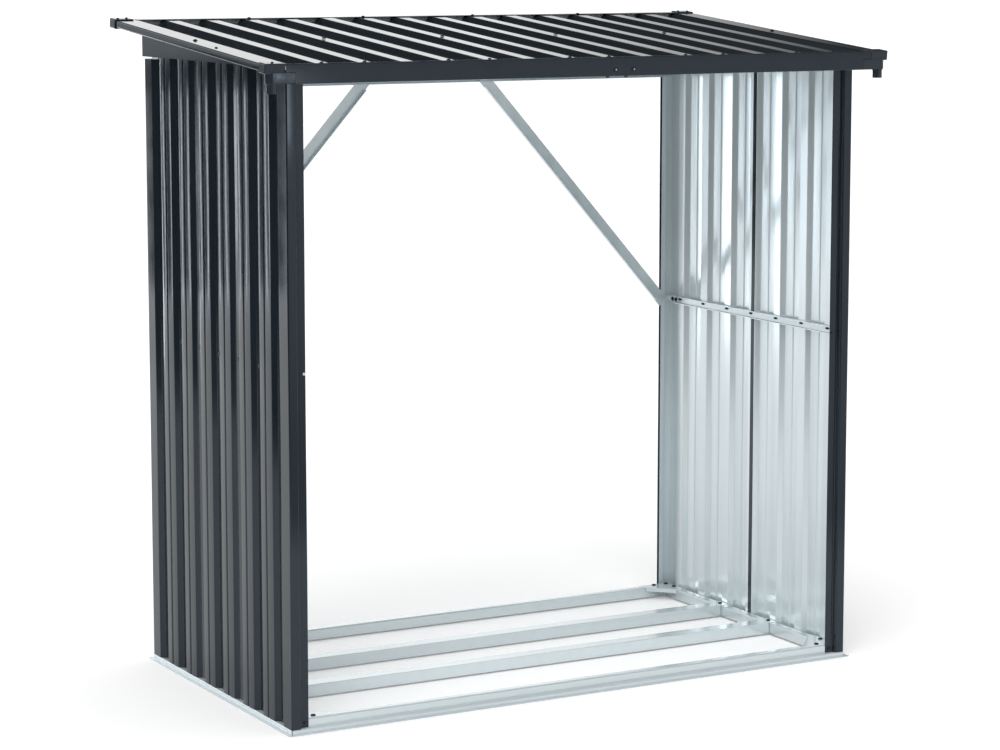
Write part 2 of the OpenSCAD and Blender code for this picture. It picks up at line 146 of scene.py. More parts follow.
class LogStoreMouldings(bpy.types.PropertyGroup):
    """Sizes of the plastic corners and of the fasteners."""

    wall: length("Wall", "Wall of the plastic corners", 0.0025)
    round: length("Round", "Radius of the moulded edges", 0.003)
    socket: length("Socket", "Width of a socket along the front", 0.048)
    socket_depth: length("Socket depth", "Depth of a socket", 0.032)
    cup_inset: length("Cup inset", "How far the round end of a cup sits inside the socket's side", 0.006)
    cup_rim: length("Cup rim", "Width of the broken edge on a cup's top", 0.0008)
    spout: length("Spout", "Outer radius of a spout", 0.011)
    spout_wall: length("Spout wall", "Wall of a spout", 0.002)
    collar: length("Collar", "How far a spout widens where it meets the cup", 0.001)
    bolt: length("Bolt", "Radius of a bolt head", 0.0056)
    washer: length("Washer", "Radius of the washer of a roof screw", 0.0052)


class LogStoreColours(bpy.types.PropertyGroup):
    """Colours of the finishes."""

    paint: colour("Paint", "Anthracite gloss paint", (0.0098, 0.0145, 0.0198))
    zinc: colour("Zinc", "Bare zinc coating", (0.715, 0.785, 0.81))
    plastic: colour("Plastic", "Moulded corners", (0.017, 0.0225, 0.0285))
    lamp: colour("Lamp", "Cool white of the strip lamps", (0.88, 0.94, 1.0))
    bolt: colour("Bolts", "Blackened bolts", (0.012, 0.012, 0.013))
    floor: colour("Floor", "Studio floor", (0.92, 0.92, 0.92))


class LogStoreStage(bpy.types.PropertyGroup):
    """Camera, lamps and floor."""

    camera: location("Camera", "Place of the camera", (-3.286, -5.932, 1.700))
    yaw: rotation("Yaw", "Turn of the camera to the right", 29.0)
    pitch: rotation("Pitch", "Tilt of the camera below the horizon", 7.5)
    lens: number("Lens", "Focal length in millimetres", 103.72)
    shift: number("Shift", "Vertical shift of the camera", -0.05)
    world: number("World", "Strength of the soft light all round", 0.80)
    # room and front also set the floor's colour as glossy rays see it: painted shade of a dim room and its
    # lit side in reflections
    room: number("Room", "Strength of the dim room in reflections", 0.05)
    front: number("Front", "Strength of the room's lit side in reflections", 0.7)
    box: number("Soft box", "Strength of the soft box in reflections", 1.35)
    overhead: number("Overhead", "Strength of the ceiling in reflections", 0.45)
    sweep: length("Sweep", "Radius of the white sweep in reflections", 5.15)
    sweep_at: location("Sweep middle", "Middle of the white sweep", (-1.5, 2.6, 0.0))
    lift: number("Lift", "White that the floor adds for the camera alone", 0.2)
    strip: number("Strips", "Brightness of the strip lamps", 4.5)
    sun: number("Sun", "Strength of the key light", 1.15)
    sun_spread: rotation("Sun spread", "Angle over which the key light comes", 50.0)
    sun_tilt: rotation("Sun tilt", "Tilt of the key light from upright", 45.0)
    sun_turn: rotation("Sun turn", "Turn of the key light about the upright", -37.0)


class LogStoreSettings(bpy.types.PropertyGroup):
    """All settings of the log store."""

    sheets: PointerProperty(type=LogStoreSheets)
    steel: PointerProperty(type=LogStoreSteel)
    mouldings: PointerProperty(type=LogStoreMouldings)
    colours: PointerProperty(type=LogStoreColours)
    stage: PointerProperty(type=LogStoreStage)


def settings():
    """Settings of the current scene."""
    return bpy.context.scene.log_store


# Places read from the frame


def span(node, axis):
    """Lowest and highest coordinate of a node along an axis."""
    return low(node, axis), high(node, axis)


def low(node, axis):
    """Lowest coordinate of a node along an axis."""
    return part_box(node)[0][axis]


def high(node, axis):
    """Highest coordinate of a node along an axis."""
    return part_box(node)[1][axis]


def size(node, axis):
    """Length of a node along an axis."""
    return high(node, axis) - low(node, axis)


def middle(node, axis):
    """Middle of a node along an axis."""
    return (low(node, axis) + high(node, axis)) / 2


def near(node, axis):
    """Distance from the middle plane to the near face of a node on either side."""
    return min(abs(low(node, axis)), abs(high(node, axis)))


def far(node, axis):
    """Distance from the middle plane to the far face of a node on either side."""
    return max(abs(low(node, axis)), abs(high(node, axis)))


def wall_pitch():
    """Distance between the valleys of a wall sheet."""
    return (size("wall_panel_right_front", Y) - 2 * settings().sheets.lap) / WALL_FLATS


def bar_angle(wide, tall, deep):
    """Slope of a bar of known depth from the size of its box, closer with each round."""
    angle = math.atan2(tall, wide)
    for _ in range(20):
        angle = math.atan2(tall - deep * math.cos(angle), wide - deep * math.sin(angle))
    return angle


def roof_deep():
    """Depth of the roof's ribs where two sheets lap."""
    s = settings().sheets
    return s.depth + 2 * s.thickness


def roof_angle():
    """Slope of the roof."""
    return bar_angle(size("roof_sheet_middle", Y), size("roof_sheet_middle", Z), roof_deep())


def roof_reach():
    """Half the length of the roof sheets, measured up the slope."""
    angle = roof_angle()
    return (size("roof_sheet_middle", Y) - roof_deep() * math.sin(angle)) / 2 / math.cos(angle)


def roof_height():
    """Height of the sheets' underside over the middle of the base."""
    return low("roof_sheet_middle", Z) + roof_reach() * math.sin(roof_angle())


def under(y):
    """Height of the sheets' underside at a depth."""
    return roof_height() + y * math.tan(roof_angle())


def slope_directions():
    """Directions away from the roof's surface and up its slope."""
    angle = roof_angle()
    out = np.array([0, -math.sin(angle), math.cos(angle)])
    up = np.array([0, math.cos(angle), math.sin(angle)])
    return out, up


def on_roof(x, s, n):
    """Place on the roof: along its length, up its slope and away from its underside."""
    out, up = slope_directions()
    return np.array([x, 0, roof_height()]) + s * up + n * out


def pitches_a_sheet():
    """Number of crown pitches across one roof sheet."""
    return (settings().sheets.crowns - 1) // len(ROOF_SHEETS)


def crown_places():
    """Middles of the roof's crowns along its length."""
    s = settings().sheets
    first = low("roof_sheet_middle", X) + s.rib / 2 - settings().steel.slip
    pitch = -2 * first / pitches_a_sheet()
    return (np.arange(s.crowns) - (s.crowns - 1) / 2) * pitch


# Bent sheet


def beside(corners, shift):
    """Corners moved sideways to the left of their path, each along the mean of its two normals."""
    run = np.diff(corners, axis=0)
    run /= np.linalg.norm(run, axis=1, keepdims=True)
    left = np.stack([-run[:, 1], run[:, 0]], 1)
    mitre = (left[:-1] + left[1:]) / (1 + (left[:-1] * left[1:]).sum(1))[:, None]
    return corners + shift * np.concatenate([left[:1], mitre, left[-1:]])


def bent_line(corners, radius, steps):
    """Straight runs joined by arcs: an arc starts radius times tan(turn / 2) before its corner.

    An arc takes at most 0.45 of a run beside it, and turns under 0.05 radians stay sharp. Returns the
    points and their left-hand normals, which turn evenly along each arc.
    """
    run = np.diff(corners, axis=0)
    reach = np.linalg.norm(run, axis=1)
    run /= reach[:, None]
    left = np.stack([-run[:, 1], run[:, 0]], 1)
    cross = run[:-1, 0] * run[1:, 1] - run[:-1, 1] * run[1:, 0]
    turn = np.arctan2(cross, (run[:-1] * run[1:]).sum(1))
    bite = np.tan(np.abs(turn) / 2)
    room = 0.45 * np.minimum(reach[:-1], reach[1:])
    arc = np.where(np.abs(turn) < 0.05, 0, np.minimum(radius, room / np.maximum(bite, 1e-9)))
    start = corners[1:-1] - run[:-1] * (arc * bite)[:, None]
    angle = turn[:, None] * np.linspace(0, 1, steps + 1)
    normal = np.stack([
        left[:-1, :1] * np.cos(angle) - left[:-1, 1:] * np.sin(angle),
        left[:-1, :1] * np.sin(angle) + left[:-1, 1:] * np.cos(angle)], 2)
    bow = (np.sign(turn) * arc)[:, None, None] * (left[:-1, None] - normal)
    points = np.concatenate([corners[:1], (start[:, None] + bow).reshape(-1, 2), corners[-1:]])
    normals = np.concatenate([left[:1], normal.reshape(-1, 2), left[-1:]])
    apart = np.linalg.norm(np.diff(points, axis=0), axis=1) > 1e-6
    kept = np.concatenate([[True], apart])
    return points[kept], normals[kept]


def show(name, data):
    """New object in the scene that holds some data."""
    item = bpy.data.objects.new(name, data)
    bpy.context.scene.collection.objects.link(item)
    return item


def new_piece(name, points, faces, materials, kinds=None, smooth=40):
    """Mesh object of the given faces, smooth but for edges sharper than an angle in degrees."""
    mesh = bpy.data.meshes.new(name)
    mesh.from_pydata(points.reshape(-1, 3), [], faces)
    for material in materials:
        mesh.materials.append(material)
    if kinds is not None:
        mesh.polygons.foreach_set("material_index", np.asarray(kinds, np.int32))
    mesh.shade_smooth()
    mesh.set_sharp_from_angle(angle=math.radians(smooth))
    piece = show(name, mesh)
    weighted = piece.modifiers.new("Flat runs", "WEIGHTED_NORMAL")
    weighted.keep_sharp = True
    return piece


def outward(points, quads):
    """Quads turned round where their closed shell would have a negative volume."""
    a, b, c, d = (points.reshape(-1, 3)[quads[:, i]] for i in range(4))
    volume = (np.cross(a, b) * c).sum() + (np.cross(a, c) * d).sum()
    return quads if volume > 0 else quads[:, ::-1]


def bent_sheet(name, corners, thickness, axes, ends, materials, radius, levels=2, wave=0.0, trim=None):
    """Sheet bent along corners and pulled along an axis: a profile carried along a straight path.

    corners lie on one face, and the sheet lies to their left, or to their right where the thickness
    is negative. axes gives the origin and the directions of the profile's two coordinates and of the
    pull, ends the pull's two limits. trim gives what is cut from the two ends at the profile's points.
    wave is the height of a slow bulge, a sine along the pull that shifts across the profile and fades
    at both ends. materials are those of the far face, the corners' face and the cut edges.
    """
    line, normal = bent_line(beside(np.asarray(corners, float), thickness / 2), radius, 4)
    skin = np.stack([line + normal * thickness / 2, line - normal * thickness / 2])
    along = np.linspace(0, 1, levels)[:, None, None]
    first, last = trim(skin) if trim else (np.zeros(skin.shape[:2]),) * 2
    pull = ends[0] + first + along * (ends[1] - ends[0] - first - last)
    bulge = wave * np.sin(WAVE_ALONG * pull + WAVE_ACROSS * line[:, 0]) * np.sin(math.pi * along)
    skin = skin[None] + normal * bulge[..., None]
    origin, across, up, pulled = (np.asarray(axis, float) for axis in axes)
    points = origin + skin[..., :1] * across + skin[..., 1:] * up + pull[..., None] * pulled
    index = np.arange(levels * 2 * len(line)).reshape(levels, 2, len(line))
    one, two = index[:, 0], index[:, 1]

    def quads(a, b, c, d):
        return np.stack([a, b, c, d], -1).reshape(-1, 4)

    faces = [
        quads(one[:-1, :-1], one[:-1, 1:], one[1:, 1:], one[1:, :-1]),
        quads(two[:-1, :-1], two[1:, :-1], two[1:, 1:], two[:-1, 1:]),
        quads(one[:-1, 0], one[1:, 0], two[1:, 0], two[:-1, 0]),
        quads(one[1:, -1], one[:-1, -1], two[:-1, -1], two[1:, -1]),
        quads(one[0, 1:], one[0, :-1], two[0, :-1], two[0, 1:]),
        quads(one[-1, :-1], one[-1, 1:], two[-1, 1:], two[-1, :-1]),
    ]
    kinds = np.repeat([0, 1, 2, 2, 2, 2], [len(part) for part in faces])
    return new_piece(name, points, outward(points, np.concatenate(faces)).tolist(), materials, kinds)


def seat(piece, slot, *nodes):
    """The piece rides on the frame and stands for some nodes, which it hides; slot is not used."""
    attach(piece, "root")
    if nodes:
        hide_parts(*nodes)


def painted(name, node, corners, thickness, axes, ends, materials, **options):
    """Bent sheet of painted steel that stands for a node."""
    bend = settings().sheets.bend
    seat(bent_sheet(name, corners, thickness, axes, ends, materials, bend, **options), "painted_steel", node)


def galvanised(name, node, corners, thickness, axes, ends, grain, levels=16, waves=1, trim=None):
    """Bent bar of galvanised steel that stands for a node; waves is a share of the usual wave."""
    bar = bent_sheet(
        name, corners, thickness, axes, ends, [finish(grain)] * 3, settings().steel.bend, levels,
        waves * settings().sheets.wave, trim)
    seat(bar, "galvanised_steel", node)


# Materials


class Nodes:
    """Short hand for building the node tree of a material or of the world."""

    def __init__(self, owner, shader="Principled BSDF"):
        owner.use_nodes = True
        self.owner = owner
        self.tree = owner.node_tree
        self.shader = self.tree.nodes[shader]

    def put(self, socket, value):
        """Joins a socket to another node's output, or gives it a plain value."""
        if isinstance(value, bpy.types.NodeSocket):
            self.tree.links.new(value, socket)
        else:
            socket.default_value = value

    def add(self, kind, inputs=None, **options):
        """New node with some of its options and inputs set."""
        node = self.tree.nodes.new(kind)
        for key, value in options.items():
            setattr(node, key, value)
        for key, value in (inputs or {}).items():
            self.put(node.inputs[key], value)
        return node

    def set(self, **inputs):
        """Outputs and plain values on the shader's own sockets."""
        for key, value in inputs.items():
            self.put(self.shader.inputs[key.replace("_", " ")], value)

    def place(self, scale=(1, 1, 1)):
        """Object coordinates stretched by a scale for each axis."""
        coordinates = self.add("ShaderNodeTexCoord").outputs["Object"]
        return self.add("ShaderNodeMapping", {"Vector": coordinates, "Scale": scale}).outputs["Vector"]

    def split(self, vector):
        """The three coordinates of a vector."""
        return self.add("ShaderNodeSeparateXYZ", {0: vector}).outputs

    def noise(self, scale, detail=3.0, stretch=(1, 1, 1)):
        """Factor of a noise with a size in cycles a metre."""
        inputs = {"Vector": self.place(stretch), "Scale": scale, "Detail": detail}
        return self.add("ShaderNodeTexNoise", inputs).outputs["Fac"]

    def spread(self, factor, to_low=0.0, to_high=1.0, from_low=0.3, from_high=0.7):
        """Factor spread over a range of values and held at its ends."""
        inputs = {
            "Value": factor, "From Min": from_low, "From Max": from_high, "To Min": to_low, "To Max": to_high}
        return self.add("ShaderNodeMapRange", inputs).outputs["Result"]

    def math(self, operation, one, other):
        """Two numbers joined by an operation."""
        return self.add("ShaderNodeMath", {0: one, 1: other}, operation=operation).outputs[0]

    def mix(self, factor, one, other):
        """Mix of two colours by a factor."""
        inputs = {"A": one, "B": other, "Factor": factor}
        return self.add("ShaderNodeMix", inputs, data_type="RGBA").outputs["Result"]

    def bump(self, height, distance):
        """Normal of a surface raised by a height factor."""
        inputs = {"Strength": 1.0, "Distance": distance, "Height": height}
        return self.add("ShaderNodeBump", inputs).outputs["Normal"]


def shade(rgb, factor):
    """Opaque colour made darker or lighter by a factor."""
    return (*(min(1.0, part * factor) for part in rgb), 1.0)


def paint_material(rgb):
    """Gloss anthracite coil paint: slow waves of the sheet, uneven gloss, a little dust in the tone."""
    n = Nodes(bpy.data.materials.new("anthracite_paint"))
    n.set(
        Base_Color=n.mix(n.spread(n.noise(3.0, 5.0)), shade(rgb, 0.88), shade(rgb, 1.14)),
        Roughness=n.spread(n.noise(14.0, 4.0), 0.08, 0.13), Normal=n.bump(n.noise(4.0, 1.0), 0.00022),
        IOR=1.5, Specular_Tint=(0.78, 0.9, 1.0, 1.0), Coat_Weight=0.12, Coat_Roughness=0.03)


def zinc_material(name, rgb, stretch):
    """Zinc coating: soft streaks along the rolling direction, clouds in the gloss and slow waves."""
    n = Nodes(bpy.data.materials.new(name))
    n.set(
        Base_Color=n.mix(n.spread(n.noise(26.0, 4.0, stretch)), shade(rgb, 0.93), shade(rgb, 1.05)),
        Roughness=n.spread(n.noise(3.0, 4.0), 0.15, 0.22), Normal=n.bump(n.noise(4.0, 1.0), 0.0003),
        Metallic=0.45)


def plastic_material(rgb):
    """Moulded plastic: fine grain all over and a slightly uneven satin gloss."""
    n = Nodes(bpy.data.materials.new("satin_plastic"))
    n.set(
        Base_Color=n.mix(n.noise(60.0, 4.0), shade(rgb, 0.8), shade(rgb, 1.25)),
        Roughness=n.spread(n.noise(90.0), 0.08, 0.18), Normal=n.bump(n.noise(120.0, 2.0), 0.00004),
        IOR=1.5, Specular_Tint=(0.8, 0.91, 1.0, 1.0))


def bolt_material(rgb):
    """Blackened steel: dark, half glossy, worn a little lighter in places."""
    n = Nodes(bpy.data.materials.new("black_bolts"))
    worn = n.spread(n.noise(300.0), from_low=0.45, from_high=0.75)
    n.set(
        Base_Color=n.mix(worn, shade(rgb, 1.0), shade(rgb, 3.0)),
        Roughness=n.spread(n.noise(500.0, 2.0), 0.28, 0.42), Metallic=0.4)


def finish(name):
    """A finish by its name; all of them are made at the first call."""
    if "anthracite_paint" not in bpy.data.materials:
        colours = settings().colours
        paint_material(colours.paint)
        zinc_material("zinc_upright", colours.zinc, (1, 1, 0.02))
        zinc_material("zinc_along_x", colours.zinc, (0.02, 1, 1))
        zinc_material("zinc_along_y", colours.zinc, (1, 0.02, 1))
        plastic_material(colours.plastic)
        bolt_material(colours.bolt)
    return bpy.data.materials[name]


# Walls and posts


def wall_corners(rear, start, stop):
    """Profile of a wall sheet along its depth: wide flats with a pressed groove between narrow valleys.

    A flat is a parabola on either side of its groove. A valley next to a seam is tipped by lifting one of
    its edges, and the valleys further off are tipped the other way by 0.3 of that.
    """
    s = settings().sheets
    pitch = wall_pitch()
    flat = pitch - s.rib - 2 * s.flank
    groove = s.groove / 2
    half = np.linspace(groove, flat / 2, 6)
    dome = s.depth - s.crowning * (2 * half / flat) ** 2
    bed = [[groove - s.groove_depth, dome[0] - s.groove_depth]]
    right = np.concatenate([bed, np.stack([half, dome], 1), [[flat / 2 + s.flank, 0]]])
    shape = np.concatenate([right[::-1] * [-1, 1], right])
    order = np.arange(WALL_FLATS) - (0 if rear else WALL_FLATS)
    flats = np.repeat(shape[None], WALL_FLATS, 0)
    flats[:, :, 0] += ((order + 0.5) * pitch)[:, None]
    tipped = s.rib_set * np.where(np.abs(order[1:]) == 1, 1, FAR_TIP)
    flats[1:, 0, 1] += np.maximum(2 * tipped, 0)
    flats[:-1, -1, 1] += np.maximum(-2 * tipped, 0)
    lap = s.thickness if rear else 0
    flats[0, 0, 1] = lap
    return np.concatenate([[[start, lap]], flats.reshape(-1, 2), [[stop, 0]]])


class LOGSTORE_OT_walls(bpy.types.Operator):
    """Ribbed wall sheets, painted outside and bare zinc inside, with the hem at their seam"""

    bl_idname = "logstore.walls"
    bl_label = "Wall sheets"

    def execute(self, context):
        s = settings().sheets
        paint, zinc = finish("anthracite_paint"), finish("zinc_upright")
        for side_name, side in SIDES.items():
            for end_name, end in ENDS.items():
                node = f"wall_panel_{side_name}_{end_name}"
                axes = ((side * near(node, X), 0, 0), BACK, (side, 0, 0), UP)
                tall = span(node, Z)
                painted(
                    f"wall_sheet_{side_name}_{end_name}", node, wall_corners(end > 0, *span(node, Y)),
                    s.thickness, axes, tall, [paint, zinc, zinc], levels=40, wave=WALL_WAVE * s.wave)
            over = -s.lap - s.hem_over
            fold = [[0, -s.play], [over, -s.play], [over, s.thickness]]
            hem = bent_sheet(f"wall_hem_{side_name}", fold, s.hem_sheet, axes, tall, [paint] * 3, s.hem_bend)
            seat(hem, "painted_steel")
        return {"FINISHED"}


class LOGSTORE_OT_posts(bpy.types.Operator):
    """Corner posts bent from painted sheet, with a folded hem on their inner edge"""

    bl_idname = "logstore.posts"
    bl_label = "Corner posts"

    def execute(self, context):
        s = settings().sheets
        paint, zinc = finish("anthracite_paint"), finish("zinc_upright")
        for side_name, side in SIDES.items():
            for end_name, end in ENDS.items():
                node = f"corner_post_{end_name}_{side_name}"
                out_x, in_x, out_y, in_y = far(node, X), near(node, X), far(node, Y), near(node, Y)
                lap_x = out_x - s.depth + s.thickness
                rib_end = in_y + s.lap + s.rib / 2
                back = out_y - s.depth
                fold = back - HEM_FOLD * s.thickness
                corners = [
                    [lap_x, in_y], [lap_x, rib_end], [out_x, rib_end + s.flank], [out_x, out_y],
                    [out_x - s.post_face, out_y], [in_x + s.post_flange, back], [in_x, back],
                    [in_x, fold], [in_x + s.hem, fold]]
                axes = ((0, 0, 0), (side, 0, 0), (0, end, 0), UP)
                painted(
                    f"post_{end_name}_{side_name}", node, corners, s.thickness, axes, span(node, Z),
                    [zinc, paint, zinc], levels=24, wave=s.wave)
        return {"FINISHED"}


class LOGSTORE_OT_gables(bpy.types.Operator):
    """Wedges between the wall tops and the sloping roof"""

    bl_idname = "logstore.gables"
    bl_label = "Gable plates"

    def execute(self, context):
        s = settings().sheets
        paint, zinc = finish("anthracite_paint"), finish("zinc_upright")
        for side_name, side in SIDES.items():
            node = f"gable_plate_{side_name}"
            depth = np.linspace(*span(node, Y), 30)
            corners = np.stack([depth, 0 * depth], 1)

            def slanted(skin):
                return np.zeros(skin.shape[:2]), (high(node, Y) - skin[..., 0]) * math.tan(roof_angle())

            axes = ((side * near(node, X), 0, 0), BACK, (side, 0, 0), UP)
            painted(
                f"gable_{side_name}", node, corners, s.thickness, axes, span(node, Z), [paint, zinc, paint],
                trim=slanted)
        return {"FINISHED"}


# Roof


def roof_corners(number):
    """Profile of one roof sheet along the roof's length: narrow crowns and valleys with a low ridge."""
    s = settings().sheets
    place = crown_places()
    each = pitches_a_sheet()
    first, last = number * each, (number + 1) * each
    foot, half = s.rib / 2 + s.flank, s.rib / 2
    groove = s.groove / 2
    inner = groove - s.groove_depth
    top = s.depth + s.thickness
    edge = high("roof_sheet_right", X)
    crown = np.array([[-foot, 0], [-half, s.depth], [half, s.depth], [foot, 0]])
    ridge = np.array([[-groove, 0], [-inner, s.groove_depth], [inner, s.groove_depth], [groove, 0]])
    crowns = crown + np.stack([place, 0 * place], 1)[:, None]
    middles = (place[:-1] + place[1:]) / 2
    ridges = ridge + np.stack([middles, 0 * middles], 1)[:, None]
    lapped = place[first]
    start = [[lapped - half + settings().steel.slip, top], [lapped + half, top], [lapped + foot, 0]]
    if number == 0:
        start = np.concatenate([[[-edge, 0]], crowns[0]])
    stop = np.concatenate([crowns[last][:2], [[place[last] + half - s.flank / 2, s.depth]]])
    if number == len(ROOF_SHEETS) - 1:
        stop = np.concatenate([crowns[last], [[edge, 0]]])
    between = np.concatenate([ridges[first:last - 1], crowns[first + 1:last]], 1).reshape(-1, 2)
    return np.concatenate([start, between, ridges[last - 1], stop])


class LOGSTORE_OT_roof(bpy.types.Operator):
    """Ribbed roof sheets and the caps along the roof's edges"""

    bl_idname = "logstore.roof"
    bl_label = "Roof sheets and trims"

    def execute(self, context):
        s = settings().sheets
        paint, zinc = finish("anthracite_paint"), finish("zinc_along_y")
        out, up = slope_directions()
        centre = (0, 0, roof_height())
        reach = roof_reach()
        for number, name in enumerate(ROOF_SHEETS):
            painted(
                f"roof_ribs_{name}", f"roof_sheet_{name}", roof_corners(number), s.thickness,
                (centre, RIGHT, out, up), (-reach, reach), [paint, zinc, zinc], levels=24,
                wave=ROOF_WAVE * s.wave)
        top = roof_deep()
        foot = top - s.trim_face
        for side_name, side in SIDES.items():
            node = f"roof_side_trim_{side_name}"
            edge = far(node, X)
            corners = [[near(node, X), top], [edge, top], [edge, foot], [edge - s.trim_lip, foot]]
            painted(
                f"side_trim_{side_name}", node, corners, -s.thickness, (centre, (side, 0, 0), out, up),
                (-reach, reach), [zinc, paint, paint], levels=16, wave=s.wave)
        back = reach + settings().steel.slip + s.thickness
        ridge = top + s.thickness
        corners = [[back - s.rear_flange, ridge], [back, ridge], [back, foot], [back - s.trim_lip, foot]]
        painted(
            "rear_strip", "rear_trim", corners, -s.thickness, (centre, up, out, RIGHT), span("rear_trim", X),
            [zinc, paint, paint], levels=24, wave=s.wave)
        return {"FINISHED"}


class LOGSTORE_OT_gutter(bpy.types.Operator):
    """Gutter in two lengths, cut away at its ends where the plastic cups sit"""

    bl_idname = "logstore.gutter"
    bl_label = "Gutter"

    def execute(self, context):
        s = settings().sheets
        slip = settings().steel.slip
        paint = finish("anthracite_paint")
        cup_in = near("gutter_corner_right", X) - slip
        notch = cup_roof() + slip
        for side_name, side in SIDES.items():
            node = f"gutter_fascia_{side_name}"
            (front, back), (floor, top) = span(node, Y), span(node, Z)
            lip = front + s.fascia_lip
            corners = [
                [lip, top - s.fascia_lip], [lip, top], [front, top], [front, notch + s.cut], [front, notch],
                [front, floor], [back, floor], [back, notch], [back, notch + s.cut],
                [back, under(back) - s.play]]

            def notched(skin):
                cut = np.where(skin[..., 1] < notch + s.cut / 2, far(node, X) - cup_in, 0)
                return (cut, 0 * cut) if side < 0 else (0 * cut, cut)

            gutter = bent_sheet(
                f"gutter_{side_name}", corners, s.thickness, ((0, 0, 0), BACK, UP, RIGHT), span(node, X),
                [paint] * 3, s.bend / 2, levels=30, wave=s.wave, trim=notched)
            seat(gutter, "painted_steel", node)
        return {"FINISHED"}


# Moulded corners


def cup_roof():
    """Height of the top of a gutter cup."""
    return under(high("gutter_fascia_right", Y)) + socket_span()[0] + settings().mouldings.wall / 2


def cup_end(node):
    """Distance from the middle plane to the round end of a cup, just inside the socket's side."""
    return far(node, X) - settings().mouldings.cup_inset


def socket_span():
    """Lowest and highest level of a socket, measured away from the roof's underside."""
    play = settings().steel.slip + settings().mouldings.wall
    return roof_deep() - settings().sheets.trim_face - play, roof_deep() + play


def rounded_box(wide, tall, radius, steps=5):
    """Closed outline of a rectangle with quarter circles at its corners, and its outward normals."""
    turn = np.linspace(0, math.pi / 2, steps + 1)
    angle = (np.arange(4)[:, None] * math.pi / 2 + turn).reshape(-1)
    normal = np.stack([np.cos(angle), np.sin(angle)], 1)
    corner = np.repeat([[1, 1], [-1, 1], [-1, -1], [1, -1]], steps + 1, 0)
    return corner * [wide / 2 - radius, tall / 2 - radius] + radius * normal, normal


def half_round(wide, radius, steps=16):
    """Closed outline with a half circle at its positive end and a square other end, and its normals."""
    angle = np.linspace(-math.pi / 2, math.pi / 2, steps + 1)
    arc = np.stack([np.cos(angle), np.sin(angle)], 1)
    outline = np.concatenate([arc * radius, [[radius - wide, radius], [radius - wide, -radius]]])
    normal = np.concatenate([arc, [[-1, 1], [-1, -1]]])
    return outline, normal


def ring(radius, steps=32):
    """Closed circle and its outward normals."""
    angle = np.linspace(0, 2 * math.pi, steps, endpoint=False)
    normal = np.stack([np.cos(angle), np.sin(angle)], 1)
    return normal * radius, normal


def moulding(outline, layers, axes):
    """Shell of an outline carried through layers of inset and height, closed by flat ends.

    Returns its points and faces.
    """
    shape, normal = outline
    inset, height = np.array(layers).T[:, :, None, None]
    origin, across, up, pulled = (np.asarray(axis, float) for axis in axes)
    flat = shape - inset * normal
    points = origin + flat[..., :1] * across + flat[..., 1:] * up + height * pulled
    count = len(shape)
    index = np.arange(len(layers) * count).reshape(-1, count)
    after = np.roll(index, -1, 1)
    quads = np.stack([index[:-1], after[:-1], after[1:], index[1:]], -1).reshape(-1, 4)
    if np.dot(np.cross(across, up), pulled) < 0:
        quads, ends = quads[:, ::-1], [index[0], index[-1][::-1]]
    else:
        ends = [index[0][::-1], index[-1]]
    return points.reshape(-1, 3), quads.tolist() + [end.tolist() for end in ends]


def joined(parts):
    """Points and faces of several shells in one list."""
    starts = np.cumsum([0] + [len(points) for points, _ in parts[:-1]])
    faces = [[int(i + start) for i in face] for start, (_, shell) in zip(starts, parts) for face in shell]
    return np.concatenate([points for points, _ in parts]), faces


